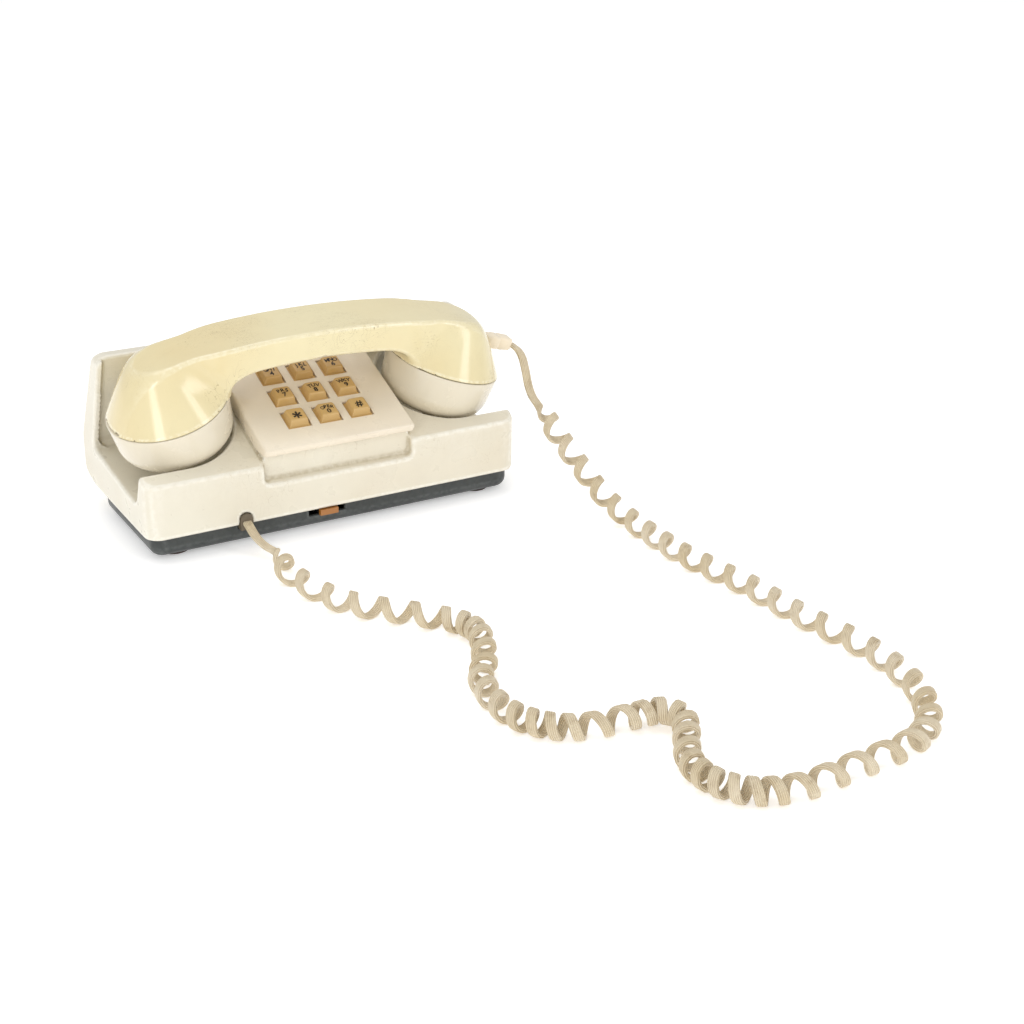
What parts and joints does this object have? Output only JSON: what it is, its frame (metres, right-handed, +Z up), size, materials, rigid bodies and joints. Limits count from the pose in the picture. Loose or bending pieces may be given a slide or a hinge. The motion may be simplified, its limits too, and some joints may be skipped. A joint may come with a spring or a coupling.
{
  "type": "corded landline phone",
  "caption": "Push-button desk phone with open cradles, a lift-off handset with round caps, sprung keys, a hook switch, a bell ringer and a curly cord to the handset.",
  "frame": {"origin": "on the table, at the centre of the box round the body and the handset, without the cord", "axes": "+X to the phone's right as its user sees it, along the handset; +Y from its front to its back; +Z up"},
  "size_m": [0.2582, 0.4319, 0.1072],
  "materials": {
    "ivory_shell": "glossy moulded plastic, slightly yellowed",
    "dark_base": "satin dark grey plastic",
    "foot_rubber": "dark brown rubber",
    "steel": "plated steel",
    "brown_plastic": "brown moulded plastic",
    "brass": "brass",
    "board": "bare circuit board",
    "ivory_inner": "moulded plastic",
    "dark_inner": "dark moulded plastic",
    "coil_wire": "lacquered winding",
    "amber": "amber plastic",
    "gland_rubber": "soft grommet",
    "cream_handset": "glossy cream plastic, yellowed, finely scratched",
    "ivory_cap": "glossy off-white plastic",
    "capsule_metal": "pressed aluminium",
    "lead_cover": "insulated lead",
    "relief_plastic": "ivory plastic with a pink tone",
    "cord_sheath": "flexible beige cord sheath",
    "key_tan": "satin tan plastic with engraved dark marks"
  },
  "bodies": {
    "body": {"shell": "ivory_shell", "faceplate": "ivory_shell", "base_pan": "dark_base", "rubber_feet": "foot_rubber", "shell_screws": "steel", "keypad_frame": "brown_plastic", "keypad_contacts": "brass", "keypad_board": "board", "hook_spring": "steel", "hook_switch": "dark_inner", "speech_network": "dark_inner", "terminal_strip": "brown_plastic", "terminal_screws": "brass", "ringer_frame": "steel", "ringer_coil": "coil_wire", "gong_low": "brass", "gong_high": "brass", "lever_pin": "steel", "cord_gland": "gland_rubber", "line_inlet": "dark_inner", "base_cord_tail": "cord_sheath", "curly_cord": "cord_sheath", "handset_cord_tail": "cord_sheath"},
    "handset": {"handset_shell": "cream_handset", "receiver_cap": "ivory_cap", "transmitter_cap": "ivory_cap", "receiver_capsule": "capsule_metal", "transmitter_capsule": "capsule_metal", "transmitter_cup": "dark_inner", "handset_lead": "lead_cover", "handset_relief": "relief_plastic"},
    "hook": {"hook_bar": "ivory_inner", "hook_plungers": "ivory_inner"},
    "key_1": {"key_1": "key_tan"},
    "key_2": {"key_2": "key_tan"},
    "key_3": {"key_3": "key_tan"},
    "key_4": {"key_4": "key_tan"},
    "key_5": {"key_5": "key_tan"},
    "key_6": {"key_6": "key_tan"},
    "key_7": {"key_7": "key_tan"},
    "key_8": {"key_8": "key_tan"},
    "key_9": {"key_9": "key_tan"},
    "key_star": {"key_star": "key_tan"},
    "key_0": {"key_0": "key_tan"},
    "key_hash": {"key_hash": "key_tan"},
    "volume_lever": {"volume_lever": "amber"},
    "clapper": {"clapper": "steel"}
  },
  "joints": [
    {"name": "handset_lift", "type": "slide", "parent": "body", "child": "handset", "axis": [0, -0.3746, 0.9272], "range_m": [0, 0.12]},
    {"name": "hook_rise", "type": "slide", "parent": "body", "child": "hook", "axis": [0, 0, 1], "range_m": [0, 0.005], "deforming": ["hook_spring"]},
    {"name": "key_1_press", "type": "slide", "parent": "body", "child": "key_1", "axis": [0, 0.3746, -0.9272], "range_m": [0, 0.0025], "stiffness_N_per_m": 250, "springref_m": -0.002},
    {"name": "key_2_press", "type": "slide", "parent": "body", "child": "key_2", "axis": [0, 0.3746, -0.9272], "range_m": [0, 0.0025], "stiffness_N_per_m": 250, "springref_m": -0.002},
    {"name": "key_3_press", "type": "slide", "parent": "body", "child": "key_3", "axis": [0, 0.3746, -0.9272], "range_m": [0, 0.0025], "stiffness_N_per_m": 250, "springref_m": -0.002},
    {"name": "key_4_press", "type": "slide", "parent": "body", "child": "key_4", "axis": [0, 0.3746, -0.9272], "range_m": [0, 0.0025], "stiffness_N_per_m": 250, "springref_m": -0.002},
    {"name": "key_5_press", "type": "slide", "parent": "body", "child": "key_5", "axis": [0, 0.3746, -0.9272], "range_m": [0, 0.0025], "stiffness_N_per_m": 250, "springref_m": -0.002},
    {"name": "key_6_press", "type": "slide", "parent": "body", "child": "key_6", "axis": [0, 0.3746, -0.9272], "range_m": [0, 0.0025], "stiffness_N_per_m": 250, "springref_m": -0.002},
    {"name": "key_7_press", "type": "slide", "parent": "body", "child": "key_7", "axis": [0, 0.3746, -0.9272], "range_m": [0, 0.0025], "stiffness_N_per_m": 250, "springref_m": -0.002},
    {"name": "key_8_press", "type": "slide", "parent": "body", "child": "key_8", "axis": [0, 0.3746, -0.9272], "range_m": [0, 0.0025], "stiffness_N_per_m": 250, "springref_m": -0.002},
    {"name": "key_9_press", "type": "slide", "parent": "body", "child": "key_9", "axis": [0, 0.3746, -0.9272], "range_m": [0, 0.0025], "stiffness_N_per_m": 250, "springref_m": -0.002},
    {"name": "key_star_press", "type": "slide", "parent": "body", "child": "key_star", "axis": [0, 0.3746, -0.9272], "range_m": [0, 0.0025], "stiffness_N_per_m": 250, "springref_m": -0.002},
    {"name": "key_0_press", "type": "slide", "parent": "body", "child": "key_0", "axis": [0, 0.3746, -0.9272], "range_m": [0, 0.0025], "stiffness_N_per_m": 250, "springref_m": -0.002},
    {"name": "key_hash_press", "type": "slide", "parent": "body", "child": "key_hash", "axis": [0, 0.3746, -0.9272], "range_m": [0, 0.0025], "stiffness_N_per_m": 250, "springref_m": -0.002},
    {"name": "volume_turn", "type": "hinge", "parent": "body", "child": "volume_lever", "pos_m": [-0.0077, -0.03873, 0.0108], "axis": [0, 0, 1], "range_deg": [-10, 10]},
    {"name": "clapper_swing", "type": "hinge", "parent": "body", "child": "clapper", "pos_m": [-0.0425, 0.01127, 0.0095], "axis": [0, 0, 1], "range_deg": [-3, 3], "stiffness_Nm_per_rad": 0.002}
  ],
  "couplings": [
    {"joint": "hook_rise", "follows": "handset_lift", "ratio": 0.0416}
  ]
}
